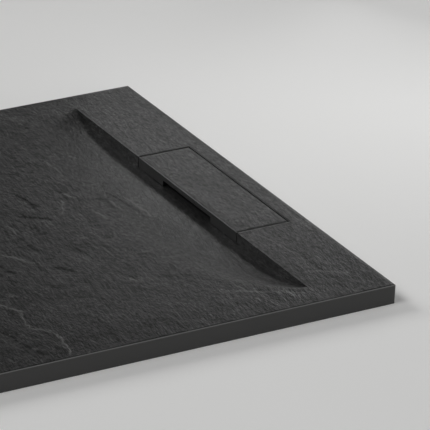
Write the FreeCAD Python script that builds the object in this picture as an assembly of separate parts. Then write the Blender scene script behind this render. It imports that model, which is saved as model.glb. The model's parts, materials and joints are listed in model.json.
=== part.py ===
"""Low rectangular shower tray with a hidden drain, in millimetres.

The tray is one cast slab of mineral composite. A level shelf crosses its drain end, and the
floor falls to a step in front of that shelf and is scooped down to it. A lift-off cover is let
into the shelf, flush with the top and with the face of the step. Its front leg has a notch that
lets water into a sump, where a steel flange and a hair strainer stand in the waste hole.

Frame: the origin is the centre of the underside, +X points to the drain end, +Y across the
tray, and +Z up.
"""

import FreeCAD, Part
import math
import os

from FreeCAD import Vector

os.makedirs("parts", exist_ok=True)

# ---- Tray slab ----
tray_length = 1400.0
tray_width = 800.0
floor_thickness = 12.0  # slab under the lowest part of the floor, at the step
corner_radius = 1.5  # upright corners of the slab
edge_chamfer = 1.0  # eased top edge, all round

# ---- Floor, step and scoop ----
side_rim = 50.0  # level margin along the two long sides
end_rim = 50.0  # level margin at the end away from the drain
step_height = 18.0  # top of the shelf down to the floor, at the cover
end_sharpness = 7  # power that keeps the step deep nearly to its ends
floor_fall = 6.0  # fall of the plain floor, from its far end to the step
scoop_reach = 170.0  # how far the scoop runs out from the middle of the step
scoop_tip_reach = 60.0  # the same at the ends of the step
floor_fade = 0.2  # the floor starts this far above the rim, so its outline fades out
floor_sections = 12  # spaces between the sections that shape the floor
scoop_points = 8  # spaces between the points along each scoop curve

# ---- Cover, with its pads, and the recess that it lies in ----
cover_length = 300.0  # recess, along the step
cover_gap = 1.5  # open joint round the cover
shelf_behind_cover = 30.0
panel_thickness = 8.0
inlet_length = 144.0  # notch in the cover's front leg, where the water goes in
cover_chamfer = 0.6  # eased top edges of the cover
recess_radius = 1.0  # upright corners at the back of the recess and of the cover
pad_thickness = 1.0  # also the open joint under the leg
pad_diameter = 6.0
leg_pad_margin = 1.0  # leg of the cover beyond its pad, to each side
seat_pad_margin = 0.25  # end seats beyond their pads, to each side
seat_pad_inset = 22.0  # centre of a seat's pad from the end of that seat

# ---- Sump below the cover ----
sump_drop = 2.0  # floor at the step down to the sump floor
sump_ramp = 5.0  # length of the ramp from the floor down into the sump
sump_radius = 6.0  # upright corners at the back of the sump
back_seat_width = 6.5  # ledge behind the sump, below the cover's back edge

# ---- Waste flange, gasket and strainer ----
outlet_diameter = 40.0  # bore that takes the spigot of a 40 mm trap
outlet_length = 5.0
outlet_rise = 1.0  # underside of the slab up to the flange's lower end
strainer_ledge = 3.5  # ring at the top of the outlet, which carries the strainer
collar_wall = 1.5  # wall of the cup that holds the strainer
collar_gap = 1.0  # collar to the waste hole
flange_lip = 6.0  # flange beyond the waste hole
flange_thickness = 1.5
flange_set_down = 0.3  # flange top below the sump floor
flange_margin = 2.5  # sump floor beyond the flange
rebate_gap = 0.5  # round the flange, in its rebate
gasket_thickness = 1.0
gasket_inset = 0.5  # flange's rim to the gasket's, and waste hole to the gasket's
strainer_thickness = 1.0
strainer_gap = 0.5  # round the strainer, in its cup
strainer_hole_diameter = 3.0
strainer_pitch = 5.6  # between rings of holes, and about the same between their holes
strainer_margin = 0.6  # metal between the outermost holes and the ledge
knob_diameter = 9.0
knob_waist_diameter = 5.0
knob_height = 9.0
knob_shank_diameter = 3.0

# ---- Places that follow from those sizes ----
floor_z = floor_thickness
top_z = floor_z + step_height
panel_z = top_z - panel_thickness
seat_z = panel_z - pad_thickness
leg_z = floor_z + pad_thickness
sump_z = floor_z - sump_drop

outlet_radius = outlet_diameter / 2
cup_radius = outlet_radius + strainer_ledge
collar_radius = cup_radius + collar_wall
hole_radius = collar_radius + collar_gap
flange_radius = hole_radius + flange_lip
outlet_z = outlet_rise
strainer_z = outlet_z + outlet_length
flange_top_z = sump_z - flange_set_down
flange_low_z = flange_top_z - flange_thickness
rebate_z = flange_low_z - gasket_thickness

leg_thickness = pad_diameter + 2 * leg_pad_margin
end_seat_width = pad_diameter + 2 * seat_pad_margin + cover_gap
sump_run = 2 * (flange_radius + flange_margin)
cover_depth = leg_thickness + cover_gap + sump_ramp + sump_run + back_seat_width
step_x = tray_length / 2 - shelf_behind_cover - cover_depth
leg_back_x = step_x + leg_thickness
ramp_top_x = leg_back_x + cover_gap
ramp_foot_x = ramp_top_x + sump_ramp
sump_back_x = ramp_foot_x + sump_run
recess_back_x = step_x + cover_depth
waste_x = (ramp_foot_x + sump_back_x) / 2

step_half = tray_width / 2 - side_rim
floor_run = step_x + tray_length / 2 - end_rim
clear = 20.0  # how far cutting tools run past the faces that they open


def box(x0, x1, y0, y1, z0, z1):
    """A block between two corners."""
    return Part.makeBox(x1 - x0, y1 - y0, z1 - z0, Vector(x0, y0, z0))


def across(profile, half_length):
    """A solid from an outline of (x, z) points, run across the tray to both sides."""
    points = [Vector(x, -half_length, z) for x, z in profile]
    face = Part.Face(Part.makePolygon(points + points[:1]))
    return face.extrude(Vector(0, 2 * half_length, 0))


def turned(profile):
    """A solid turned from an outline of (radius, z) points about the waste hole's axis."""
    points = [Vector(waste_x + radius, 0, z) for radius, z in profile]
    face = Part.Face(Part.makePolygon(points + points[:1]))
    return face.revolve(Vector(waste_x, 0, 0), Vector(0, 0, 1), 360)


def upright_edges(solid, wanted=lambda x, y: True):
    """The straight edges along Z, of those whose place is wanted."""
    return [
        edge
        for edge in solid.Edges
        if abs(edge.tangentAt(edge.FirstParameter).z) > 0.999
        and wanted(edge.CenterOfMass.x, edge.CenterOfMass.y)
    ]


def level_edges(solid, z):
    """The edges that lie at one height."""
    box_of = [(edge, edge.BoundBox) for edge in solid.Edges]
    return [edge for edge, b in box_of if abs(b.ZMin - z) < 1e-4 and abs(b.ZMax - z) < 1e-4]


# ---- The floor ----
def floor_depth(run, share):
    """Depth of the floor below the rim.

    run is the distance out from the step, and share the place along the step, from -1 to 1.
    The plain floor is a long fall, hollow from side to side. The scoop adds what the step
    needs at its face, and dies out along half a cosine wave.
    """
    hollow = floor_fall * (1 - share**2)
    at_step = step_height * (1 - abs(share) ** end_sharpness)
    wave = (1 + math.cos(math.pi * min(run / scoop_end(share), 1))) / 2
    return hollow * (1 - run / floor_run) + (at_step - hollow) * wave - floor_fade


def scoop_end(share):
    """How far the scoop runs out from the step: furthest in the middle, least at the ends."""
    return scoop_tip_reach + (scoop_reach - scoop_tip_reach) * (1 - share**2)


def floor_section(share):
    """The outline of the space above the floor, in the upright plane at one share."""
    y = share * step_half
    reach = scoop_end(share)

    def on_floor(run):
        return Vector(step_x - run, y, top_z - floor_depth(run, share))

    scoop = Part.BSplineCurve()
    scoop.interpolate([on_floor(reach * n / scoop_points) for n in range(scoop_points + 1)])
    corners = [
        on_floor(reach),
        on_floor(floor_run),
        Vector(step_x - floor_run, y, top_z + clear),
        Vector(step_x + clear, y, top_z + clear),
        on_floor(0) + Vector(clear, 0, 0),
        on_floor(0),
    ]
    lines = [Part.makeLine(start, end) for start, end in zip(corners, corners[1:])]
    return Part.Wire([scoop.toShape()] + lines)


def floor_tool():
    """The space above the floor, lofted from one side rim to the other, up to the step."""
    turns = [math.pi * (n / floor_sections - 0.5) for n in range(floor_sections + 1)]
    space = Part.makeLoft([floor_section(math.sin(turn)) for turn in turns], True)
    half_width = tray_width / 2
    up_to_step = box(-tray_length, step_x, -half_width, half_width, 0, 2 * top_z)
    return space.common(up_to_step)


# ---- The recess, the sump and the waste hole ----
def recess_tool():
    """What is cut out of the shelf for the cover: a shallow recess and the leg's slot."""
    half = cover_length / 2
    over = top_z + clear
    recess = box(step_x, recess_back_x, -half, half, seat_z, over)
    back = upright_edges(recess, lambda x, y: x > waste_x)
    recess = recess.makeFillet(recess_radius, back)
    return recess.fuse(box(step_x, ramp_top_x, -half, half, floor_z, over))


def sump_tool():
    """The sump, with a ramp that leads down into it from the leg's slot."""
    outline = [
        (step_x, floor_z),
        (ramp_top_x, floor_z),
        (ramp_foot_x, sump_z),
        (sump_back_x, sump_z),
        (sump_back_x, top_z),
        (step_x, top_z),
    ]
    sump = across(outline, cover_length / 2 - end_seat_width)
    back = upright_edges(sump, lambda x, y: x > waste_x)
    return sump.makeFillet(sump_radius, back)


def waste_tool():
    """The waste hole and the rebate round it, which seats the flange on its gasket."""
    rebate_radius = flange_radius + rebate_gap
    outline = [
        (0, -clear),
        (hole_radius, -clear),
        (hole_radius, rebate_z),
        (rebate_radius, rebate_z),
        (rebate_radius, panel_z),
        (0, panel_z),
    ]
    return turned(outline)


# ---- The pieces ----
def tray_slab():
    half_length, half_width = tray_length / 2, tray_width / 2
    slab = box(-half_length, half_length, -half_width, half_width, 0, top_z)
    slab = slab.makeFillet(corner_radius, upright_edges(slab))
    slab = slab.makeChamfer(edge_chamfer, level_edges(slab, top_z))
    for tool in (floor_tool(), recess_tool(), sump_tool(), waste_tool()):
        slab = slab.cut(tool)
    return slab


def drain_cover():
    """A panel with a leg along its front edge, which the water inlet interrupts."""
    back_x = recess_back_x - cover_gap
    outline = [
        (step_x, leg_z),
        (leg_back_x, leg_z),
        (leg_back_x, panel_z),
        (back_x, panel_z),
        (back_x, top_z),
        (step_x, top_z),
    ]
    cover = across(outline, cover_length / 2 - cover_gap)
    inlet_half = inlet_length / 2
    cover = cover.cut(box(step_x, leg_back_x, -inlet_half, inlet_half, floor_z, panel_z))
    back = upright_edges(cover, lambda x, y: x > waste_x)
    cover = cover.makeFillet(recess_radius, back)
    return cover.makeChamfer(cover_chamfer, level_edges(cover, top_z))


def cover_pads():
    """Soft discs stuck under the cover, by name: four on the end seats, one on each leg."""
    half = cover_length / 2
    seat_y = half - (end_seat_width + cover_gap) / 2
    leg_y = (half - cover_gap + inlet_length / 2) / 2
    rows = {
        "back": (recess_back_x - seat_pad_inset, seat_y, seat_z),
        "front": (ramp_top_x + seat_pad_inset, seat_y, seat_z),
        "leg": (step_x + leg_thickness / 2, leg_y, floor_z),
    }
    sides = {"right": -1, "left": 1}
    return {
        f"cover_pad_{row}_{side}": Part.makeCylinder(
            pad_diameter / 2, pad_thickness, Vector(x, sign * y, z)
        )
        for row, (x, y, z) in rows.items()
        for side, sign in sides.items()
    }


def waste_flange():
    """A turned ring: a thin rim, a cup for the strainer, and the outlet below it."""
    outline = [
        (outlet_radius, outlet_z),
        (collar_radius, outlet_z),
        (collar_radius, flange_low_z),
        (flange_radius, flange_low_z),
        (flange_radius, flange_top_z),
        (cup_radius, flange_top_z),
        (cup_radius, strainer_z),
        (outlet_radius, strainer_z),
    ]
    return turned(outline)


def flange_gasket():
    inner = hole_radius + gasket_inset
    outer = flange_radius - gasket_inset
    outline = [(inner, rebate_z), (outer, rebate_z), (outer, flange_low_z), (inner, flange_low_z)]
    return turned(outline)


def hair_strainer():
    """A disc with rings of small holes, which drops into the flange's cup.

    The rings are spaced inwards from the ledge until they come to the knob.
    """
    centre = Vector(waste_x, 0, strainer_z)
    hole = strainer_hole_diameter / 2
    disc = Part.makeCylinder(cup_radius - strainer_gap, strainer_thickness, centre)
    drills = [Part.makeCylinder(knob_shank_diameter / 2, strainer_thickness, centre)]
    ring = outlet_radius - strainer_margin - hole
    while ring - hole > knob_waist_diameter / 2:
        count = int(2 * math.pi * ring / strainer_pitch)
        for n in range(count):
            turn = 2 * math.pi * n / count
            place = centre + Vector(ring * math.cos(turn), ring * math.sin(turn), 0)
            drills.append(Part.makeCylinder(hole, strainer_thickness, place))
        ring -= strainer_pitch
    return disc.cut(Part.makeCompound(drills))


def strainer_knob():
    """A waisted knob, whose shank is pressed into the middle of the strainer."""
    foot = strainer_z + strainer_thickness
    shank, waist, rim = knob_shank_diameter / 2, knob_waist_diameter / 2, knob_diameter / 2
    outline = [
        (0, strainer_z),
        (shank, strainer_z),
        (shank, foot),
        (waist, foot),
        (waist, foot + knob_height / 3),
        (rim, foot + knob_height * 2 / 3),
        (rim, foot + knob_height),
        (0, foot + knob_height),
    ]
    return turned(outline)


pieces = {
    "tray_slab": tray_slab(),
    "drain_cover": drain_cover(),
    "waste_flange": waste_flange(),
    "flange_gasket": flange_gasket(),
    "hair_strainer": hair_strainer(),
    "strainer_knob": strainer_knob(),
    **cover_pads(),
}

for name, piece in pieces.items():
    for solid in piece.Solids:
        assert solid.isValid() and solid.isClosed(), f"{name} isn't a sound solid"
    piece.exportStep(f"parts/{name}.step")
    print(f"{name}: {len(piece.Solids)} solid, {piece.Volume / 1000:.1f} cm3")
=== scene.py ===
# %% [markdown]
# # A slate-textured shower tray with a hidden drain
#
# The tray is one cast slab with a loose cover over the drain, where the slab is only about 10 mm
# thick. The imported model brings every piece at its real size. This file gives the slab and the
# cover their riven slate faces, gives every piece its finish, and sets up a plain studio with
# the camera where the photographer stood.
#
# Every cell below does one thing, prints what it made, and says first why it was made that way.

import json
import math

import bmesh
import bpy
import numpy as np
from mathutils import Matrix, Vector
from mathutils.geometry import tessellate_polygon


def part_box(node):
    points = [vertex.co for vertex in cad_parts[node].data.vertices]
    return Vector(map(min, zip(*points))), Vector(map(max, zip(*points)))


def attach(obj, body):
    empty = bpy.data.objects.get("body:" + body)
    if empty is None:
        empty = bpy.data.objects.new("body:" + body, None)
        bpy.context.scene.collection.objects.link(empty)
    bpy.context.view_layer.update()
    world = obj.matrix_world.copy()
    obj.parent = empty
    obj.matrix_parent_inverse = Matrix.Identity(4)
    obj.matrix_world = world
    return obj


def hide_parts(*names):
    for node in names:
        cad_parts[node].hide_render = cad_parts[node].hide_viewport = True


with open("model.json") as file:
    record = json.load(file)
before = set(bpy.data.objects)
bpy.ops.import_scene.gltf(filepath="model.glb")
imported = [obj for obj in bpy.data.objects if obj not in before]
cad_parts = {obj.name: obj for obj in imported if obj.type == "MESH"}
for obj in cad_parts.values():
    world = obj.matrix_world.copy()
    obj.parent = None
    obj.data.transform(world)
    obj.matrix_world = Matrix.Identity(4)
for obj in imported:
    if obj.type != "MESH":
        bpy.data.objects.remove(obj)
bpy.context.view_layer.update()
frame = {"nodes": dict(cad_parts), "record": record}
nodes = frame["nodes"]
print("nodes:", ", ".join(sorted(nodes)))

# %% [markdown]
# ## Sizes
#
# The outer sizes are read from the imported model, so the new faces land where the old ones are.
# Sizes inside a piece, such as the depth of the sump, can't be read from a box around it, so
# they are given by name, in metres.

# %% Sizes of the slab, the floor and the drain
mm = 0.001
slab_low, slab_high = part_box("tray_slab")
cover_low, cover_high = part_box("drain_cover")
flange_low, flange_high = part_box("waste_flange")
hole_centre = (flange_low.x + flange_high.x) / 2

corner_radius = 1.5 * mm
edge_chamfer = 1.0 * mm
side_rim = 50 * mm  # from the step's ends to the tray's sides
end_rim = 50 * mm
step_height = 18 * mm
end_sharpness = 7  # the power by which the step's height dies out towards its ends
floor_fall = 6 * mm  # how deep the hollow floor would be at the step without the scoop
floor_fade = 0.2 * mm  # taken off that depth, so that the hollow ends before the rim
scoop_reach = 170 * mm
scoop_tip_reach = 60 * mm  # reach of the scoop at the step's ends

cover_gap = 1.5 * mm
panel_thickness = 8 * mm
leg_thickness = 8 * mm
inlet_half = 72 * mm
seat_depth = 9 * mm
end_seat = 8 * mm
sump_drop = 2 * mm
sump_ramp = 5 * mm
sump_run = 69 * mm
rebate_depth = 2.8 * mm
sump_radius = 6 * mm
rebate_radius = 32.5 * mm
hole_radius = 26 * mm
print("sizes inside the pieces, in mm: step", step_height / mm, "inlet", 2 * inlet_half / mm)

# %% Places worked out from the sizes
top = slab_high.z
step_x = cover_low.x
floor_z = top - step_height
sump_z = floor_z - sump_drop
seat_z = top - seat_depth
panel_z = top - panel_thickness
recess_half = cover_high.y + cover_gap
recess_back = cover_high.x + cover_gap
ramp_top = step_x + leg_thickness + cover_gap
ramp_foot = ramp_top + sump_ramp
sump_back = ramp_foot + sump_run
sump_half = recess_half - end_seat
step_half = slab_high.y - side_rim
floor_run = step_x - slab_low.x - end_rim
print(f"slab {slab_high.x - slab_low.x:.3f} x {slab_high.y - slab_low.y:.3f} x {top:.3f} m,",
      f"step at x = {step_x:.3f} m")

# %% [markdown]
# ## Noise to carve slate with
#
# Slate is split, not sawn: its face is finely wrinkled along one direction. That comes from
# gradient noise. Every corner of a square lattice gets a random slope, and between corners the
# slopes are blended smoothly. A corner's slope is hashed from its whole-number place, so the
# surface is the same every time, and it can be asked for at any point, on grids of any spacing.

# %% Gradient noise on whole arrays
column_key, row_key, seed_key, stir_key = 374761393, 668265263, 974634777, 1274126177
bits_32, bits_24 = 0xFFFFFFFF, 0xFFFFFF
noise_gain = 1.4  # without it the noise would reach only about 0.7


def lattice_turn(column, row, seed):
    """A random angle for each lattice corner: its place and the seed, hashed to 24 bits."""
    code = (column.astype(np.int64) * column_key + row.astype(np.int64) * row_key
            + seed * seed_key) & bits_32
    code = ((code ^ (code >> 13)) * stir_key) & bits_32
    return 2 * np.pi * ((code ^ (code >> 16)) & bits_24) / bits_24


def noise(u, v, seed):
    """Smooth noise from about -1 to 1, whose lumps are about one unit across.

    Each corner adds its slope times the distance from it, and the four corners around a
    point are blended with the curve 6t^5 - 15t^4 + 10t^3, which is level at both ends.
    """
    column, row = np.floor(u), np.floor(v)
    s, t = u - column, v - row
    blend_s = s**3 * (s * (s * 6 - 15) + 10)
    blend_t = t**3 * (t * (t * 6 - 15) + 10)

    def corner(right, up):
        turn = lattice_turn(column + right, row + up, seed)
        return np.cos(turn) * (s - right) + np.sin(turn) * (t - up)

    low = corner(0, 0) * (1 - blend_s) + corner(1, 0) * blend_s
    high = corner(0, 1) * (1 - blend_s) + corner(1, 1) * blend_s
    return noise_gain * (low * (1 - blend_t) + high * blend_t)


probe = noise(np.linspace(0, 40, 500), np.linspace(0, 28, 500), 1)
print(f"noise runs from {probe.min():.2f} to {probe.max():.2f}")

# %% Layers of noise, and a soft step
def layered(u, v, seed, layers, fade=0.5):
    """Noise on top of noise: each layer is twice as fine as the last, and fade times as high."""
    return sum(fade**n * noise(u * 2**n, v * 2**n, seed + n) for n in range(layers))


def ease(value, start, end):
    """0 before start, 1 after end, and 3t^2 - 2t^3 between them."""
    t = np.clip((value - start) / (end - start), 0, 1)
    return t * t * (3 - 2 * t)


print("a soft step from 0 to 4:", ease(np.arange(5), 0, 4))

# %% [markdown]
# ## Wrinkles
#
# The relief is about a millimetre deep. It is carved down from the smooth face and never added
# on top, so the piece keeps its size. Two layers of noise make most of it: a slow swell, and
# wrinkles that are longer along the grain than across it, because the plane is turned and
# stretched before the noise is asked for.

# %% Swell and wrinkles
grain_turn = math.radians(-100)  # direction of the grain, from +X
swell_height = 0.35 * mm
swell_along, swell_across = 160 * mm, 110 * mm
wrinkle_height = 0.28 * mm
wrinkle_along, wrinkle_across = 26 * mm, 12 * mm
patch_size = 90 * mm
patch_swing = 0.6  # how much stronger or fainter a patch's wrinkles are
face_depth = 0.5 * mm  # mean of the riven face, below the smooth one
slab_seed = 11


def along_grain(x, y):
    """Places measured along the grain and across it: the plane turned by the grain's angle."""
    along = x * math.cos(grain_turn) + y * math.sin(grain_turn)
    across = y * math.cos(grain_turn) - x * math.sin(grain_turn)
    return along, across


def wrinkles(x, y, seed):
    """Height of a slow swell plus two layers of wrinkles, both stretched along the grain.

    A third noise makes patches, and the wrinkles are multiplied by 1 + patch_swing times it.
    """
    along, across = along_grain(x, y)
    swell = noise(along / swell_along, across / swell_across, seed)
    wrinkle = layered(along / wrinkle_along, across / wrinkle_across, seed + 1, 2, 0.8)
    wrinkle = wrinkle * (1 + patch_swing * noise(x / patch_size, y / patch_size, seed + 5))
    return swell_height * swell + wrinkle_height * wrinkle - face_depth


square = np.linspace(0, 0.4, 160)
sample = wrinkles(*np.meshgrid(square, square, indexing="ij"), slab_seed)
print(f"wrinkles from {sample.min() / mm:.2f} to {sample.max() / mm:.2f} mm")

# %% [markdown]
# ## Broken leaves
#
# What makes slate look like slate is the edge of a broken leaf: a thin layer ends, and the face
# drops at once. Seen against the light such an edge is a bright or a dark line, by the side
# that is lower. Some edges are placed where the real tray has them, and the rest are drawn at
# random, most of them nearly along the grain and always from the same seed. How near a point is
# to an edge is kept too, for a painted highlight or painted shade along it: pale where the side
# toward the drain end is lower, so that the drop faces the lamps there, and dark where the other
# side is lower.
#
# A grid of points 3.6 mm apart can't show a drop that is 1 mm wide. So every edge also pulls
# the points near it closer to itself, which puts the two sides of the drop side by side.

# %% Edges that the real tray has
# Start and end in mm, bow, and drop: positive where the side toward the drain is lower.
placed_edges = [
    ((152, -190), (178, -243), -4, 0.60),
    ((176, -238), (160, -300), -5, 0.50),
    ((160, -296), (184, -316), 2, 0.45),
    ((184, -318), (172, -396), 3, 0.60),
    ((124, -278), (146, -386), -8, -0.60),
    ((281, -130), (303, -158), 3, -0.55),
    ((291, -22), (292, -78), -6, -0.85),
    ((229, -58), (263, -106), 4, 0.50),
    ((214, -80), (228, -128), -7, -0.60),
    ((408, 98), (424, 66), 4, 0.65),
    ((420, 100), (412, 60), -3, -0.50),
    ((404, 76), (378, 22), 3, 0.45),
    ((312, 48), (364, 12), 2, -0.45),
    ((324, 6), (330, -28), -5, -0.75),
    ((286, 24), (284, -14), 3, 0.40),
    ((482, 78), (496, -46), 5, -0.65),
    ((500, 62), (506, -30), 4, 0.55),
    ((470, 58), (468, 14), -3, -0.60),
    ((478, 50), (476, 8), -3, 0.60),
    ((456, 62), (460, 14), 3, -0.40),
    ((431, 28), (437, -14), -3, 0.50),
    ((340, -80), (348, -134), 4, -0.45),
    ((364, -208), (368, -226), 1, 0.50),
    ((604, -304), (664, -342), 3, 0.30),
    ((458, -303), (524, -344), 3, 0.28),
    ((542, -338), (549, -372), 2, 0.30),
    ((257, -356), (250, -392), 2, -0.35),
]
print(len(placed_edges), "edges placed")

# %% Edges strewn over the rest
leaf_turn = math.radians(-88)  # direction of most of them, from +X
leaf_stray = math.radians(15)
leaf_length = (18, 75)  # shortest and longest, in mm
leaf_drop = (0.2, 0.55)
leaf_bow = 0.1  # largest bow, as a share of the length
open_floor = ((-690, -390), (150, 390))  # two opposite corners, in mm
beside_scoop = ((150, 60), (480, 390))


def random_edges(count, low, high, seed):
    """Edges strewn over a rectangle, each turned a little from the usual direction."""
    draw = np.random.default_rng(seed)
    edges = []
    for _ in range(count):
        start = draw.uniform(low, high)
        turn = leaf_turn + draw.normal(0, leaf_stray)
        length = draw.uniform(*leaf_length)
        end = start + length * np.array([math.cos(turn), math.sin(turn)])
        drop = draw.choice([-1, 1]) * draw.uniform(*leaf_drop)
        edges.append((start, end, draw.uniform(-leaf_bow, leaf_bow) * length, drop))
    return edges


strewn_edges = random_edges(70, *open_floor, 5) + random_edges(16, *beside_scoop, 6)
print(len(strewn_edges), "edges strewn")

# %% Drops along the edges, and their painted highlight and shade
edge_trail = 12 * mm  # how far the lower side takes to rise again
edge_pull = 7 * mm  # how far from an edge points are pulled to it
edge_ragged = 2.8 * mm  # how far noise pushes an edge aside
edge_spot = 8 * mm  # length of one tooth of a ragged edge
edge_boost = 1.6  # drops are this many times deeper than their numbers say
edge_width = 1.1 * mm  # half the width of the painted highlight or shade along an edge
full_drop = 0.6  # drop from which the painted highlight or shade along an edge is at full strength
edge_seed = 21


def break_leaves(x, y, edges, seed):
    """Height of the broken edges, the painted highlight or shade along them, and the points
    pulled to them.

    With t the share along an edge and s the distance to its side, less the bow 4t(1 - t) and
    the ragged noise, the lower side is drop exp(-s / trail) deep. A point nearer than the pull
    w moves from s to s|s| / w. The painted highlight or shade is exp(-(s / width)^2), signed
    like the drop: pale where the side toward the drain end is lower, as that drop faces the
    lamps there, and dark where the other side is lower. All die out towards the edge's ends.
    """
    height, painted_edge_light = np.zeros_like(x), np.zeros_like(x)
    pulled_x, pulled_y = x.copy(), y.copy()
    for n, (start, end, bow, drop) in enumerate(edges):
        start, end = np.array(start) * mm, np.array(end) * mm
        length = math.dist(start, end)
        run_x, run_y = (end - start) / length
        t = ((x - start[0]) * run_x + (y - start[1]) * run_y) / length
        near = (t > 0) & (t < 1)
        t = t[near]
        aside = ((y - start[1]) * run_x - (x - start[0]) * run_y)[near]
        ragged = layered(t * length / edge_spot, np.full_like(t, n + 0.5), seed, 2)
        s = aside - 4 * t * (1 - t) * bow * mm - ragged * edge_ragged
        strength = np.clip(8 * t * (1 - t), 0, 1)
        lower = s * np.sign(drop)
        fall = np.where(lower > 0, np.exp(-lower / edge_trail), 0)
        height[near] -= abs(drop) * edge_boost * mm * strength * fall
        pull = np.where(np.abs(s) < edge_pull, s - s * np.abs(s) / edge_pull, 0) * strength
        line = np.exp(-((s - pull) / edge_width) ** 2) * strength * min(1, abs(drop) / full_drop)
        painted_edge_light[near] += np.sign(drop) * line
        pulled_x[near] += pull * run_y
        pulled_y[near] -= pull * run_x
    return height, painted_edge_light, pulled_x, pulled_y


probe = break_leaves(*np.meshgrid(square, square, indexing="ij"), placed_edges, edge_seed)[0]
print(f"the deepest drop is {-probe.min() / mm:.2f} mm")

# %% [markdown]
# ## The floor
#
# A tray's floor has to bring water to the inlet from everywhere and still be comfortable to
# stand on. So most of it falls hardly at all, and only a hand's width before the step does it
# dip: the scoop. One formula gives the depth at any point. It is the solid's formula with one
# change of at most 2.3 mm: close to the step's two ends the scoop reaches less far, so that it
# comes to a point there.

# %% Depth of the floor
tip_taper = 0.75  # share of the reach that the scoop loses at the step's very ends


def scoop_wave(x, y):
    """How much of the scoop is left: 1 at the step, 0 from the scoop's reach on.

    The reach shrinks from the middle to the step's ends with 1 - s^2, and close to the ends by
    another tip_taper s^12.
    """
    share = np.clip(y / step_half, -1, 1)
    reach = scoop_tip_reach + (scoop_reach - scoop_tip_reach) * (1 - share**2)
    reach = reach * (1 - tip_taper * share**12)
    return (1 + np.cos(np.pi * np.clip((step_x - x) / reach, 0, 1))) / 2


def floor_depth(x, y):
    """Depth below the rim: a long fall hollow from side to side, and the scoop at the step.

    With s the place along the step from -1 to 1 and r the distance out from it, the fall is
    floor_fall (1 - s^2)(1 - r / floor_run). The scoop adds what is missing to
    step_height (1 - |s|^7), times half a cosine wave that ends at the scoop's reach. Over the
    cover's length the step is full height.
    """
    share = np.clip(y / step_half, -1, 1)
    run = np.clip(step_x - x, 0, floor_run)
    hollow = floor_fall * (1 - share**2)
    at_cover = 1 - (recess_half / step_half) ** end_sharpness
    at_step = step_height * np.minimum(1, (1 - np.abs(share) ** end_sharpness) / at_cover)
    wave = scoop_wave(x, y)
    depth = hollow * (1 - run / floor_run) + (at_step - hollow) * wave
    return np.clip(depth - floor_fade * (1 - wave), 0, step_height)


for distance in (0.02, 0.1, 0.3):
    depth = floor_depth(np.array([step_x - distance]), np.array([0.0]))[0]
    print(f"floor is {depth / mm:.1f} mm deep, {distance / mm:.0f} mm out from the step")

# %% [markdown]
# ## A grid with upright walls in it
#
# The top of the slab could be made with Boolean cuts, but they leave long thin triangles that
# carry relief badly. Here the whole top is one grid of points, with a height for each. A grid
# can't have an upright wall, because a point has only one height. The trick is to let a grid
# line come three times at the same place: once for each side of the wall, and once for its
# middle, so that three heights can meet at a corner and leave no gap. Where there is no wall,
# the three fall on each other, and merging them heals the seam.

# %% Grid lines, single and tripled
def grid_lines(marks, walls, spacing):
    """Lines from the first mark to the last, at most one spacing apart, with one on each mark.

    At a wall the line comes three times, with the sides -1, 0 and 1. Elsewhere the side is 0.
    """
    places, sides = [marks[0]], [0]
    for start, end in zip(marks, marks[1:]):
        steps = max(1, math.ceil((end - start) / spacing - 1e-6))
        places.extend(start + (end - start) * n / steps for n in range(1, steps + 1))
        sides.extend([0] * steps)
        if end in walls:
            places.extend([end, end])
            sides[-1] = -1
            sides.extend([0, 1])
    return np.array(places), np.array(sides)


print("a wall at 1 makes the lines", grid_lines([0, 1, 2], [1], 1)[0])

# %% A whole grid of lines
def at_walls(places, sides):
    """Which of the lines stand at a wall."""
    return np.isin(places, places[sides != 0])


def walled_grid(x_marks, half_marks, x_walls, half_walls, spacing):
    """The points where the lines cross, each one's two sides, and whether it is at a wall.

    The lines along the length lie to both sides of the middle, at plus and minus half_marks.
    """
    y_marks = [-mark for mark in reversed(half_marks)] + half_marks
    x_lines, x_sides = grid_lines(x_marks, x_walls, spacing)
    y_lines, y_sides = grid_lines(y_marks, half_walls + [-wall for wall in half_walls], spacing)
    points = np.meshgrid(x_lines, y_lines, indexing="ij")
    sides = np.meshgrid(x_sides, y_sides, indexing="ij")
    walls = np.meshgrid(at_walls(x_lines, x_sides), at_walls(y_lines, y_sides), indexing="ij")
    return *points, sides, walls


crossings = walled_grid([0, 1, 2], [1, 2], [1], [1], 1)[0]
print("with walls at 1, the 3 by 4 lines make a grid of", crossings.shape)

# %% Heights beside the walls
def wall_heights(level, x, y, sides, walls, middle):
    """Height of every grid point, asked a hair's breadth to its own side of each wall.

    On a wall's middle line the height is middle, held between the heights around it.
    """
    hair = 1e-7
    sw, nw, se, ne = (level(x + dx, y + dy) for dx in (-hair, hair) for dy in (-hair, hair))
    side_x, side_y = sides
    mid_x, mid_y = walls[0] & (side_x == 0), walls[1] & (side_y == 0)
    west, east = np.where(side_y < 0, sw, nw), np.where(side_y < 0, se, ne)
    south, north = np.where(side_x < 0, sw, se), np.where(side_x < 0, nw, ne)
    z = np.where(side_x < 0, west, east)
    z = np.where(mid_x, np.clip(middle, np.minimum(west, east), np.maximum(west, east)), z)
    z = np.where(mid_y, np.clip(middle, np.minimum(south, north), np.maximum(south, north)), z)
    around = np.stack([sw, nw, se, ne])
    return np.where(mid_x & mid_y, np.clip(middle, around.min(0), around.max(0)), z)


flat_end = walled_grid([0, 1, 2], [1], [1], [], 1)
ledge = wall_heights(lambda x, y: np.where(x < 1, 0, 3), *flat_end, 1)
print("heights across a wall from 0 to 3, with its middle at 1:", ledge[:, 0])

# %% [markdown]
# Faces join the points. The cells of a grid give most of them, and bands join one ring of points
# to the next. A square grid has square corners, so where the piece has a round one, the points
# close to it are moved inwards onto an arc.

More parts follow.
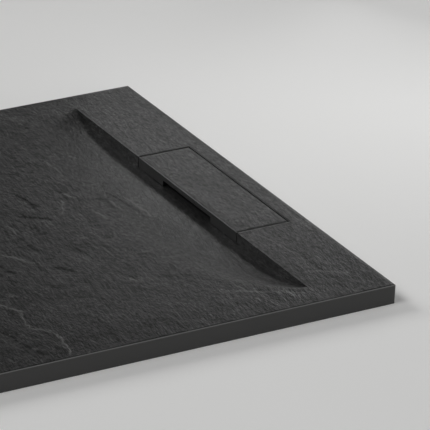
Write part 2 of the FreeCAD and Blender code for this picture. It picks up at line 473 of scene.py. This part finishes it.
# %% Faces of grids and rings
def grid_faces(keep):
    """Corner numbers of each cell of a grid that is kept, counter-clockwise from above."""
    rows = keep.shape[1] + 1
    i, j = np.nonzero(keep)
    number = i * rows + j
    return np.stack([number, number + rows, number + rows + 1, number + 1], 1)


def rim_loop(columns, rows):
    """Numbers of a grid's outermost points, counter-clockwise from above."""
    i, j = np.arange(columns), np.arange(rows)
    return np.concatenate([i[:-1] * rows, (columns - 1) * rows + j[:-1],
                           i[:0:-1] * rows + rows - 1, j[:0:-1]])


def bands(loops):
    """Faces between each ring of points and the next, outwards where the rings go down."""
    faces = []
    for upper, lower in zip(loops, loops[1:]):
        faces.append(np.stack([lower, np.roll(lower, -1), np.roll(upper, -1), upper], 1))
    return faces


print("the 4 outermost points of a 2 by 2 grid, in order:", rim_loop(2, 2))

# %% Round corners
def round_corners(x, y, arc_x, arc_y, radius):
    """Points moved so that the corners at +x and +-y get an arc round (arc_x, +-arc_y).

    There a point keeps its direction from the arc's centre and comes to the distance
    max(u, v), with u and v its distances along x and y, so the sides of a square become an
    arc. Past the radius that move dies out over one more radius.
    """
    u, v = x - arc_x, np.abs(y) - arc_y
    far = np.maximum(u, v)
    left = radius / np.maximum(far, radius) * np.clip(2 - far / radius, 0, 1)
    move = far / np.maximum(np.hypot(u, v), 1e-9) - 1
    keep = 1 + move * left
    moved = (u > 0) & (v > 0) & (keep < 1)
    x = np.where(moved, arc_x + u * keep, x)
    y = np.where(moved, np.sign(y) * (arc_y + v * keep), y)
    print(f"{np.count_nonzero(moved)} points moved to round corners")
    return x, y


round_corners(np.array([1.0, 1.5]), np.array([1.0, 1.5]), 0.5, 0.5, 1)

# %% [markdown]
# ## From arrays to a mesh
#
# The points and faces become a mesh as they are. After that the tripled points are merged, which
# also makes triangles of faces whose corners coincide, and edges sharper than 30 degrees are
# marked, so that they stay crisp while the slate is shaded smooth. What the material has to know
# about each point, such as the share of slate there, is kept in attributes.

# %% Mesh from arrays
merge_distance = 2e-6
crease_angle = math.radians(30)


def padded(values, count):
    """The values in one row, with zeros after them up to the count."""
    return np.pad(values.ravel().astype(np.float32), (0, count - values.size))


def mesh_piece(name, points, shares, faces, body, node):
    """A finished piece from (n, 3) points, named shares by point, and a list of face arrays."""
    mesh = bpy.data.meshes.new(name)
    mesh.from_pydata(points.tolist(), [], [face for group in faces for face in group.tolist()])
    for share, values in shares.items():
        mesh.attributes.new(share, "FLOAT", "POINT").data.foreach_set("value", values)
    work = bmesh.new()
    work.from_mesh(mesh)
    bmesh.ops.remove_doubles(work, verts=work.verts, dist=merge_distance)
    loose = [vertex for vertex in work.verts if not vertex.link_faces]
    bmesh.ops.delete(work, geom=loose, context="VERTS")
    bmesh.ops.recalc_face_normals(work, faces=work.faces)
    open_edges = sum(not edge.is_manifold for edge in work.edges)
    triangles = sum(len(face.verts) - 2 for face in work.faces)
    volume = work.calc_volume(signed=True)
    work.to_mesh(mesh)
    work.free()
    mesh.shade_smooth()
    mesh.set_sharp_from_angle(angle=crease_angle)
    piece = bpy.data.objects.new(name, mesh)
    bpy.context.scene.collection.objects.link(piece)
    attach(piece, body)
    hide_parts(node)
    print(f"{name}: {triangles} triangles, {open_edges} open edges, {volume * 1e6:.0f} cm3")
    return piece


print("a share padded to 4 points:", padded(np.ones(2), 4))

# %% [markdown]
# ## The slab
#
# Slate is on everything that the mould's slate face touched. It is strong on the open floor,
# calmer on the shelf and at the foot of the step, and there is none on the step's face and in
# the drain. It dies out a few millimetres before every cut edge, so the edges stay straight, as
# they do on a tray that is trimmed after casting.

# %% The slab's smooth shape
def edge_distance(x, y):
    """Distance from a point to the nearest cut side of the slab."""
    return np.minimum(np.minimum(slab_high.x - x, x - slab_low.x), slab_high.y - np.abs(y))


def slab_level(x, y):
    """Height of the smooth slab: shelf and rim, floor, recess for the cover, and sump."""
    on_shelf = x > step_x
    z = np.where(on_shelf, top, top - floor_depth(x, y))
    z = np.where(edge_distance(x, y) < edge_chamfer / 2, top - edge_chamfer, z)
    in_recess = on_shelf & (x < recess_back) & (np.abs(y) < recess_half)
    in_sump = in_recess & (x < sump_back) & (np.abs(y) < sump_half)
    ramp = floor_z - sump_drop * np.clip((x - ramp_top) / sump_ramp, 0, 1)
    z = np.where(in_recess, seat_z, z)
    z = np.where(in_sump, ramp, z)
    return np.where(in_recess & (x < ramp_top), floor_z, z)


middle_line = slab_level(np.array([0.0, step_x - 0.001, sump_back - 0.001, 0.69]), np.zeros(4))
print("heights along the middle, in mm:", np.round(middle_line / mm, 1))

# %% Where the slab is riven
shelf_share = 0.6  # relief on the shelf and the cover, where the slate is calmer
scoop_calm = 0.65  # relief that is lost at the foot of the step
edge_fade = 3 * mm  # the relief is whole from this distance on
step_fade = 6 * mm
recess_fade = 4 * mm


def slab_riven(x, y):
    """Share of slate at a point: 0 at cut edges, in the drain and by the step, 1 in the open."""
    past_tip = np.clip(np.abs(y) - step_half, 0, None)
    from_step = np.hypot(np.clip(x - step_x, 0, None), past_tip)
    past_recess = np.hypot(np.clip(x - recess_back, 0, None),
                           np.clip(np.abs(y) - recess_half, 0, None))
    shelf = shelf_share * ease(from_step, 0, step_fade) * ease(past_recess, 0, recess_fade)
    scoop = ease(scoop_wave(x, y), 0.2, 1.0) * (1 - ease(past_tip, 0, step_fade))
    share = np.where(x > step_x, shelf, 1 - scoop_calm * scoop)
    return share * ease(edge_distance(x, y), edge_chamfer, edge_fade)


print("share of slate at the foot of the step:", slab_riven(np.array([step_x]), np.zeros(1))[0])

# %% [markdown]
# Lines stand where something begins or ends, and evenly between. The points are pulled to the
# broken edges before they get their heights, so the smooth shape isn't disturbed.

# %% The slab's top, as a grid
slab_spacing = 3.6 * mm
half_square = sump_run / 2  # a square round the waste hole, left out of the grid
inner_x, inner_y = slab_high.x - corner_radius, slab_high.y - corner_radius
x_marks = [slab_low.x, slab_low.x + edge_chamfer, -inner_x, step_x, ramp_top, ramp_foot,
           sump_back, recess_back, inner_x, slab_high.x - edge_chamfer, slab_high.x]
half_marks = [half_square, sump_half, recess_half, step_half, inner_y,
              slab_high.y - edge_chamfer, slab_high.y]
flat_x, flat_y, sides, walls = walled_grid(x_marks, half_marks,
                                           [step_x, ramp_top, sump_back, recess_back],
                                           [sump_half, recess_half], slab_spacing)
riven = slab_riven(flat_x, flat_y)
# The second result marks, by point, the painted highlight or painted shade along each broken edge.
breaks, painted_edge_light, near_x, near_y = break_leaves(flat_x, flat_y, placed_edges + strewn_edges, edge_seed)
x = flat_x + (near_x - flat_x) * riven
y = flat_y + (near_y - flat_y) * riven
z = wall_heights(slab_level, x, y, sides, walls, seat_z)
z += riven * np.minimum(wrinkles(flat_x, flat_y, slab_seed) + breaks, 0)
print(f"a grid of {x.shape[0]} by {x.shape[1]} points")

# %% Rounded corners of the slab and of the sump
rounded_x, y = round_corners(np.abs(x), y, inner_x, inner_y, corner_radius)
x = np.sign(x) * rounded_x
x, y = round_corners(x, y, sump_back - sump_radius, sump_half - sump_radius, sump_radius)
top_points = np.stack([x.ravel(), y.ravel(), z.ravel()], 1)

# %% [markdown]
# The waste hole is round, and the grid is square. Round the hole, the grid stops at a square,
# and rings of as many points as that square's outline lead from it to the rebate, down, in to
# the hole, and through to the underside.

# %% Rings round the waste hole
columns, rows = x.shape
low_i, high_i = (int(np.argmin(np.abs(flat_x[:, 0] - place))) for place in (ramp_foot, sump_back))
low_j, high_j = (int(np.argmin(np.abs(flat_y[0] - place))) for place in (-half_square, half_square))
kept = np.ones((columns - 1, rows - 1), bool)
kept[low_i:high_i, low_j:high_j] = False
square_rim = rim_loop(high_i - low_i + 1, high_j - low_j + 1)
square_width = high_j - low_j + 1
square_rim = (square_rim // square_width + low_i) * rows + square_rim % square_width + low_j

around = np.arctan2(top_points[square_rim, 1], top_points[square_rim, 0] - hole_centre)
rings = [np.stack([hole_centre + radius * np.cos(around), radius * np.sin(around),
                   np.full_like(around, height)], 1)
         for radius, height in ((rebate_radius, sump_z), (rebate_radius, sump_z - rebate_depth),
                                (hole_radius, sump_z - rebate_depth), (hole_radius, 0))]
print(len(rings), "rings of", len(square_rim), "points")

# %% The underside, and the slab as a closed piece
outline = rim_loop(columns, rows)
underside = top_points[outline] * (1, 1, 0)
points = np.concatenate([top_points, *rings, underside])
count = len(square_rim)
ring_loops = [square_rim] + [len(top_points) + n * count + np.arange(count) for n in range(4)]
underside_loop = len(points) - len(outline) + np.arange(len(outline))
pieces = tessellate_polygon([[Vector(point) for point in points[underside_loop]],
                             [Vector(point) for point in points[ring_loops[-1]]]])
underside_faces = np.concatenate([underside_loop, ring_loops[-1]])[np.array(pieces)]
shares = {"riven": padded(riven, len(points)),
          # The signed mark for the painted highlight or painted shade along the broken edges.
          "painted_edge_light": padded(np.where(riven > 0.1, painted_edge_light, 0), len(points)),
          # The band along the cut sides and the underside, where the sides are made paler, partly as
          # painted light, and the chamfer gets a painted highlight.
          "cut_rim": padded(edge_distance(x, y) < 1.5 * edge_chamfer, len(points))}
shares["cut_rim"][underside_loop] = 1
slab = mesh_piece("slab", points, shares,
                  [grid_faces(kept), *bands(ring_loops), *bands([outline, underside_loop]),
                   underside_faces], "tray", "tray_slab")

# %% [markdown]
# ## The cover
#
# The cover is a plate with a leg under its front edge, which the water inlet interrupts. It is
# made like the slab, but it needs an underside too. So there are two grids over the same lines,
# one for the top and one for the bottom, and a band of faces between their rims. The band has a
# row at the panel's underside, because there the leg's ends meet it.

# %% The cover's smooth faces and its slate
cover_spacing = 1.6 * mm
cover_chamfer = 0.6 * mm
cover_radius = 1.0 * mm
cover_fade = 5 * mm  # the relief is whole from this distance on
cover_seed = 31
leg_back = step_x + leg_thickness
cover_half = cover_high.y


def rim_distance(x, y):
    """Distance from a point to the cover's nearest edge."""
    return np.minimum(np.minimum(x - step_x, cover_high.x - x), cover_half - np.abs(y))


def cover_top(x, y):
    """Height of the smooth top: level, and one chamfer lower at the very rim."""
    return np.where(rim_distance(x, y) < cover_chamfer / 2, top - cover_chamfer, top)


def cover_bottom(x, y):
    """Height of the underside: the panel's, and lower under the leg to both sides."""
    return np.where((x < leg_back) & (np.abs(y) > inlet_half), cover_low.z, panel_z)


x_marks = [step_x, step_x + cover_chamfer, leg_back, cover_high.x - cover_radius,
           cover_high.x - cover_chamfer, cover_high.x]
half_marks = [inlet_half, cover_half - cover_radius, cover_half - cover_chamfer, cover_half]
flat_x, flat_y, sides, walls = walled_grid(x_marks, half_marks, [leg_back], [inlet_half],
                                           cover_spacing)
riven = shelf_share * ease(rim_distance(flat_x, flat_y), cover_chamfer, cover_fade)
relief = np.minimum(wrinkles(flat_x, flat_y, cover_seed), 0)
upper = cover_top(flat_x, flat_y) + riven * relief
lower = wall_heights(cover_bottom, flat_x, flat_y, sides, walls, panel_z)
x, y = round_corners(flat_x, flat_y, cover_high.x - cover_radius, cover_half - cover_radius,
                     cover_radius)
print(f"a grid of {x.shape[0]} by {x.shape[1]} points, twice")

# %% The cover as a closed piece
faces = grid_faces(np.ones((x.shape[0] - 1, x.shape[1] - 1), bool))
outline = rim_loop(*x.shape)
upper_points, lower_points = (np.stack([x.ravel(), y.ravel(), height.ravel()], 1)
                              for height in (upper, lower))
middle_points = upper_points[outline] * (1, 1, 0) + (0, 0, panel_z)
points = np.concatenate([upper_points, lower_points, middle_points])
middle_loop = 2 * x.size + np.arange(len(outline))
cover = mesh_piece("cover", points, {"riven": padded(riven, len(points))},
                   [faces, faces[:, ::-1] + x.size, *bands([outline, middle_loop, outline + x.size])],
                   "cover", "drain_cover")

# %% [markdown]
# ## Materials
#
# A material is a tree of small nodes. The first helper below adds a node and fills its inputs,
# each with a plain value or with another node's output. The others are the few combinations
# that come again and again. Patterns read Object coordinates, which are real metres here, so a
# pattern's scale is one over its size.

# %% Adding nodes to a tree
def add(tree, kind, *links, **settings):
    """A shader node of that kind: settings are its properties, links its (input, value) pairs."""
    made = tree.nodes.new("ShaderNode" + kind)
    for name, value in settings.items():
        setattr(made, name, value)
    for name, value in links:
        if isinstance(value, bpy.types.NodeSocket):
            tree.links.new(value, made.inputs[name])
        else:
            made.inputs[name].default_value = value
    return made


def new_material(name):
    """An empty material with a Principled shader wired to its output."""
    material = bpy.data.materials.new(name)
    material.use_nodes = True
    tree = material.node_tree
    tree.nodes.clear()
    shader = add(tree, "BsdfPrincipled")
    add(tree, "OutputMaterial", ("Surface", shader.outputs[0]))
    return material, tree, shader


print("add and new_material ready")

# %% Ramps, sums, noises and mixes
def ramp(tree, value, low, high, start, end):
    """A number that goes from start to end while value goes from low to high."""
    made = add(tree, "MapRange", ("Value", value), ("From Min", low), ("From Max", high),
               ("To Min", start), ("To Max", end))
    return made.outputs["Result"]


def maths(tree, operation, first, second=0):
    """The result of one operation on two numbers, each plain or another node's output."""
    return add(tree, "Math", (0, first), (1, second), operation=operation).outputs[0]


def texture(tree, place, scale, detail, *links):
    """Noise from 0 to 1, whose lumps are one over the scale across, in metres."""
    made = add(tree, "TexNoise", ("Vector", place), ("Scale", scale), ("Detail", detail), *links)
    return made.outputs["Fac"]


def mixed(tree, share, start, end):
    """A colour that goes from start to end while the share goes from 0 to 1."""
    made = add(tree, "MixRGB", ("Fac", share), ("Color1", start), ("Color2", end))
    return made.outputs["Color"]


def grey_ramp(tree, value, low, high, dark, light):
    """A colour between two, by where value is from low to high."""
    made = add(tree, "ValToRGB", ("Fac", value))
    for element, place, colour in zip(made.color_ramp.elements, (low, high), (dark, light)):
        element.position = place
        element.color = colour
    return made.outputs["Color"]


print("ramp, maths, texture, mixed and grey_ramp ready")

# %% Greys, and the end of every material
def finish(tree, shader, colour, rough, height, depth, strength):
    """Wires colour and roughness into the shader, and the height as a bump, depth in metres."""
    bump = add(tree, "Bump", ("Height", height), ("Distance", depth), ("Strength", strength))
    for socket, value in (("Base Color", colour), ("Roughness", rough),
                          ("Normal", bump.outputs[0])):
        tree.links.new(value, shader.inputs[socket])


def grey(level, warmth=0.0):
    """A grey with its blue lowered by the warmth."""
    return (level, level, level - warmth, 1)


print("a warm grey:", grey(0.08, 0.0015))

# %% [markdown]
# ## Mineral composite
#
# The slab and the cover are a matt, through-coloured anthracite. The finest grain is too small
# for the mesh, so it is a bump: two noises that are stretched along the grain, plus thin leaf
# edges from a saw-tooth of a slower noise. All are scaled by the share of slate, so that cut
# faces stay plain. The colour follows the same noises, with dark pores and pale flecks in
# clusters. The broken edges get a painted highlight or painted shade along them, by which side
# is lower. The cut sides are paler than the moulded face, partly as their own plain cut face and
# partly as painted light in place of light from the front, and the chamfer above them carries a
# painted highlight.

# %% Relief that is finer than the mesh
grain_stretch = 0.38  # patterns are one over this longer along the grain than across it
leaf_rise = 0.45  # height of a leaf's edge, as a share of the grain's
speck_rise = 0.5
pore_rise = 0.06


def slate_relief(tree, place, stretched, share, grain, speck):
    """Height: grain, specks and the saw-teeth of a slow noise, times the share of slate.

    Each time six times the slow noise passes a whole number, its fraction drops from 1 to 0.
    Fine pores come on top, on cut faces too.
    """
    slow = texture(tree, stretched, 30, 3, ("Roughness", 0.5), ("Distortion", 0.6))
    tooth = maths(tree, "FRACT", maths(tree, "MULTIPLY", slow, 6.0))
    height = maths(tree, "ADD", grain, maths(tree, "MULTIPLY", tooth, leaf_rise))
    height = maths(tree, "ADD", height, maths(tree, "MULTIPLY", speck, speck_rise))
    pores = maths(tree, "MULTIPLY", texture(tree, place, 900, 2), pore_rise)
    return maths(tree, "ADD", maths(tree, "MULTIPLY", height, share), pores)


print("slate_relief ready")

# %% Colours of the moulded slate
moulded_dark, moulded_light = grey(0.0158), grey(0.0201, 0.0003)
pit_colour, ridge_colour = grey(0.0042), grey(0.0315, 0.0004)
fleck_colour = grey(0.080, 0.0015)
# Greys for the painted highlight and painted shade along the broken edges.
painted_edge_highlight, painted_edge_shade = grey(0.110, 0.003), grey(0.006)


def slate_colour(tree, place, turned, share, grain, speck):
    """Clouded where it is plain, mottled by the relief's noises where it is riven.

    Flecks show where specks are high and a slower noise says that there is a cluster. A painted
    highlight or painted shade along the broken edges follows the attribute: pale where it is 1,
    dark where it is -1.
    """
    plain = grey_ramp(tree, texture(tree, place, 14, 4), 0.3, 0.7, moulded_dark, moulded_light)
    both = maths(tree, "MULTIPLY", maths(tree, "ADD", grain, speck), 0.5)
    mottle = grey_ramp(tree, both, 0.38, 0.62, pit_colour, ridge_colour)
    mottled = ramp(tree, share, 0.02, 0.25, 0, 1)
    colour = mixed(tree, mottled, plain, mottle)
    high = ramp(tree, speck, 0.54, 0.70, 0, 1)
    cluster = ramp(tree, texture(tree, turned, 26, 2), 0.42, 0.64, 0, 1)
    flecks = maths(tree, "MULTIPLY", maths(tree, "MULTIPLY", high, cluster), mottled)
    colour = mixed(tree, flecks, colour, fleck_colour)
    # A painted highlight or painted shade along each broken edge, by which side of its drop faces the
    # drain end's lamps.
    painted_edge_light = add(tree, "Attribute", attribute_name="painted_edge_light").outputs["Fac"]
    colour = mixed(tree, ramp(tree, painted_edge_light, 0.1, 1, 0, 1), colour, painted_edge_highlight)
    return mixed(tree, ramp(tree, painted_edge_light, -0.1, -1, 0, 1), colour, painted_edge_shade)


print("slate_colour ready")

# %% Colours of the cut sides, and the painted highlight on the chamfer
# The cut sides' grey: partly their own plain cut face, partly painted light in place of light from
# the front.
cut_face_and_painted_light = grey(0.053, 0.0008)
# A pale grey for the painted highlight along the chamfer.
painted_chamfer_highlight = grey(0.165, 0.003)


def cut_sides_and_painted_light(tree, colour):
    """The colour, paler on upright cut sides, partly as painted front light, and with a painted
    highlight on the chamfer above them.

    Which it is follows from how far the face's own direction points up: not at all on a side,
    and about 0.7 on a chamfer.
    """
    cut_rim = add(tree, "Attribute", attribute_name="cut_rim").outputs["Fac"]
    facing = add(tree, "NewGeometry").outputs["True Normal"]
    upward = add(tree, "SeparateXYZ", (0, facing)).outputs["Z"]
    # Upright cut sides made paler, partly as painted front light.
    upright = maths(tree, "MULTIPLY", ramp(tree, upward, 0.3, 0.5, 1, 0), cut_rim)
    colour = mixed(tree, upright, colour, cut_face_and_painted_light)
    # Painted highlight: the chamfer is made pale, standing in for the light line that the top edge
    # catches.
    tilted = maths(tree, "MULTIPLY", ramp(tree, upward, 0.55, 0.62, 0, 1),
                   ramp(tree, upward, 0.80, 0.87, 1, 0))
    return mixed(tree, maths(tree, "MULTIPLY", tilted, cut_rim), colour, painted_chamfer_highlight)


print("cut_sides_and_painted_light ready")

# %% Anthracite composite
def composite():
    """The whole material of the slab and the cover."""
    material, tree, shader = new_material("anthracite_composite")
    place = add(tree, "TexCoord").outputs["Object"]
    turned = add(tree, "Mapping", ("Vector", place), ("Rotation", (0, 0, -grain_turn))).outputs[0]
    stretched = add(tree, "Mapping", ("Vector", turned), ("Scale", (grain_stretch, 1, 1))).outputs[0]
    share = add(tree, "Attribute", attribute_name="riven").outputs["Fac"]
    grain = texture(tree, stretched, 210, 3, ("Roughness", 0.62))
    speck = texture(tree, stretched, 430, 2)
    colour = slate_colour(tree, place, turned, share, grain, speck)
    height = slate_relief(tree, place, stretched, share, grain, speck)
    rough = ramp(tree, grain, 0.3, 0.7, 0.44, 0.34)
    finish(tree, shader, cut_sides_and_painted_light(tree, colour), rough, height, 1.4 * mm, 1.0)
    shader.inputs["Specular IOR Level"].default_value = 0.27
    return material


slate = composite()
for piece in (slab, cover):
    piece.data.materials.append(slate)
print(slate.name, "on slab and cover")

# %% [markdown]
# ## Steel, rubber and silicone
#
# The flange, strainer and knob are turned from stainless steel. A cutting tool leaves rings
# round the axis, so the roughness and the bump read the distance from the waste hole's axis. The
# rubber and the silicone are plain, with a faint moulded grain.

# %% Turned steel
def turned_steel():
    """Bright steel with fine rings: noise of the distance from the hole's axis."""
    material, tree, shader = new_material("turned_steel")
    place = add(tree, "TexCoord").outputs["Object"]
    centred = add(tree, "Mapping", ("Vector", place), ("Location", (-hole_centre, 0, 0)))
    flat = add(tree, "Mapping", ("Vector", centred.outputs[0]), ("Scale", (1, 1, 0)))
    radius = add(tree, "VectorMath", (0, flat.outputs[0]), operation="LENGTH").outputs["Value"]
    rings = add(tree, "TexNoise", ("W", radius), ("Scale", 3000), ("Detail", 2),
                noise_dimensions="1D").outputs["Fac"]
    colour = grey_ramp(tree, texture(tree, place, 60, 3), 0.3, 0.7, grey(0.56, -0.01),
                       grey(0.64, -0.01))
    finish(tree, shader, colour, ramp(tree, rings, 0.3, 0.7, 0.22, 0.34), rings, 0.04 * mm, 0.6)
    shader.inputs["Metallic"].default_value = 1
    return material


steel = turned_steel()
print(steel.name, "ready")

# %% Rubber and silicone, and who wears what
def moulded(name, dark, light, rough):
    """Rubber or silicone: two close colours in a fine mottle, and a faint grain."""
    material, tree, shader = new_material(name)
    mottle = texture(tree, add(tree, "TexCoord").outputs["Object"], 700, 3)
    colour = grey_ramp(tree, mottle, 0.35, 0.65, dark, light)
    matt = ramp(tree, mottle, 0.3, 0.7, rough - 0.05, rough + 0.05)
    finish(tree, shader, colour, matt, mottle, 0.1 * mm, 0.5)
    return material


finishes = {
    "steel": steel,
    "gasket": moulded("gasket_rubber", grey(0.012), grey(0.022), 0.7),
    "pad": moulded("pad_silicone", (0.34, 0.35, 0.36, 1), (0.42, 0.43, 0.44, 1), 0.45),
}
slots = {part["node"]: part["material_slot"] for part in frame["record"]["subparts"]}
for name, node in nodes.items():
    if slots[name] in finishes:
        node.data.materials.clear()
        node.data.materials.append(finishes[slots[name]])
        print(name, "is", finishes[slots[name]].name)

# %% [markdown]
# ## Studio
#
# The tray lies on a plain pale floor. The slate is dark and half matt, so what it shows most is
# the light it mirrors: three low panels stand close behind the drain end, where the camera sees
# them mirrored, and their light falls off along the tray. A narrow beam adds a little on the
# cover. Four far lamps, as wide in the sky as big windows, light the floor and the cut sides
# evenly from all around. The world is a pale haze along the horizon, which softens every shadow.

# %% Floor
floor_grey = 0.94
floor_half = 60.0  # so far that its rim is the horizon


def plain_floor():
    """A big pale plane at the tray's underside."""
    corners = [(x * floor_half, y * floor_half, 0) for x, y in ((-1, -1), (1, -1), (1, 1), (-1, 1))]
    mesh = bpy.data.meshes.new("studio_floor")
    mesh.from_pydata(corners, [], [(0, 1, 2, 3)])
    floor = bpy.data.objects.new("studio_floor", mesh)
    bpy.context.scene.collection.objects.link(floor)
    material, tree, shader = new_material("studio_floor")
    mottle = texture(tree, add(tree, "TexCoord").outputs["Object"], 3, 2)
    colour = grey_ramp(tree, mottle, 0.3, 0.7,
                       (floor_grey, floor_grey * 0.997, floor_grey * 0.985, 1),
                       (floor_grey + 0.01, floor_grey + 0.007, floor_grey - 0.003, 1))
    tree.links.new(colour, shader.inputs["Base Color"])
    shader.inputs["Roughness"].default_value = 0.9
    shader.inputs["Specular IOR Level"].default_value = 0.0
    mesh.materials.append(material)
    print(f"floor {2 * floor_half:.0f} m square")


plain_floor()

# %% World
haze_top, clear_from = 0.06, 0.26  # heights in the sky, as the sine of the angle


def hazy_world(haze, above):
    """Light that is one strength at the horizon and below, and fades to another higher up."""
    world = bpy.data.worlds.new("studio")
    bpy.context.scene.world = world
    world.use_nodes = True
    tree = world.node_tree
    tree.nodes.clear()
    direction = add(tree, "TexCoord").outputs["Generated"]
    height = add(tree, "SeparateXYZ", (0, direction)).outputs["Z"]
    strength = add(tree, "MapRange", ("Value", height), ("From Min", haze_top),
                   ("From Max", clear_from), ("To Min", haze), ("To Max", above),
                   interpolation_type="SMOOTHSTEP")
    light = add(tree, "Background", ("Color", (1, 1, 1, 1)), ("Strength", strength.outputs[0]))
    add(tree, "OutputWorld", ("Surface", light.outputs[0]))
    print(f"haze of {haze}, and {above} above it")


hazy_world(0.3, 0.03)

# %% Far lamps and panels
far_width = math.radians(26)  # how wide each far lamp is in the sky


def aimed(name, light, turn, height, aim=(0, 0, 0), distance=3):
    """A light that looks at its aim, from so far, a turn from +X and a height in degrees."""
    lamp = bpy.data.objects.new(name, light)
    bpy.context.scene.collection.objects.link(lamp)
    turn, height = math.radians(turn), math.radians(height)
    way = Vector((math.cos(turn) * math.cos(height), math.sin(turn) * math.cos(height),
                  math.sin(height)))
    lamp.location = Vector(aim) + distance * way
    lamp.rotation_euler = way.to_track_quat("Z", "Y").to_euler()
    return lamp


def far_lamp(name, turn, height, strength):
    """A soft lamp so far away that it lights the whole floor alike."""
    light = bpy.data.lights.new(name, "SUN")
    light.energy = strength
    light.angle = far_width
    return aimed(name, light, turn, height)


def panel(name, aim, distance, turn, height, size, power, beam):
    """A small rectangular lamp, whose beam is so many degrees wide."""
    light = bpy.data.lights.new(name, "AREA")
    light.shape = "RECTANGLE"
    light.size, light.size_y = size
    light.energy = power
    light.spread = math.radians(beam)
    return aimed(name, light, turn, height, aim, distance)


print("aimed, far_lamp and panel ready")

# %% The lamps of this studio
# Turns and heights in degrees, strengths in watts per square metre, powers in watts.
for name, turn, height, strength in (("front_lamp", -88, 12, 0.27), ("side_lamp", -15, 27, 1.2),
                                     ("back_lamp", 120, 30, 1.03), ("end_lamp", 180, 50, 0.77)):
    far_lamp(name, turn, height, strength)
drain, cover_middle = (0.62, 0, 0), (0.64, 0.05, 0)
for name, turn, power in (("low_panel", 0, 0.21), ("near_panel", 30, 0.24),
                          ("far_panel", 80, 0.058)):
    panel(name, drain, 0.9, turn, 16, (0.5, 0.4), power, 90)
panel("beam", cover_middle, 1.8, 59, 25, (0.4, 0.4), 0.03, 20)

# %% [markdown]
# ## Camera
#
# The camera stands where it stood for the photograph: far back with a long lens, looking down
# at the corner by the drain. A real camera is never quite level, so it is also rolled a little
# about its own axis.

# %% Camera
def camera_from(target, distance, azimuth, elevation, roll, lens):
    """Camera on a sphere round a target, by angles, with three axes worked out from them."""
    a, e, r = (math.radians(angle) for angle in (azimuth, elevation, roll))
    back = Vector((math.sin(a) * math.cos(e), -math.cos(a) * math.cos(e), math.sin(e)))
    level = Vector((math.cos(a), math.sin(a), 0))
    above = back.cross(level)
    right = level * math.cos(r) + above * math.sin(r)
    up = above * math.cos(r) - level * math.sin(r)
    data = bpy.data.cameras.new("camera")
    data.lens = lens
    data.sensor_width = 36
    camera = bpy.data.objects.new("camera", data)
    bpy.context.scene.collection.objects.link(camera)
    turn = Matrix((right, up, back)).transposed().to_4x4()
    camera.matrix_world = Matrix.Translation(Vector(target) + back * distance) @ turn
    bpy.context.scene.camera = camera
    return camera


camera = camera_from(target=(0.6142, -0.0287, 0), distance=5.755, azimuth=-31.304,
                     elevation=25.137, roll=2.66, lens=318.09)
bpy.context.scene.view_settings.view_transform = "Standard"
print("camera at", tuple(round(value, 3) for value in camera.matrix_world.translation))
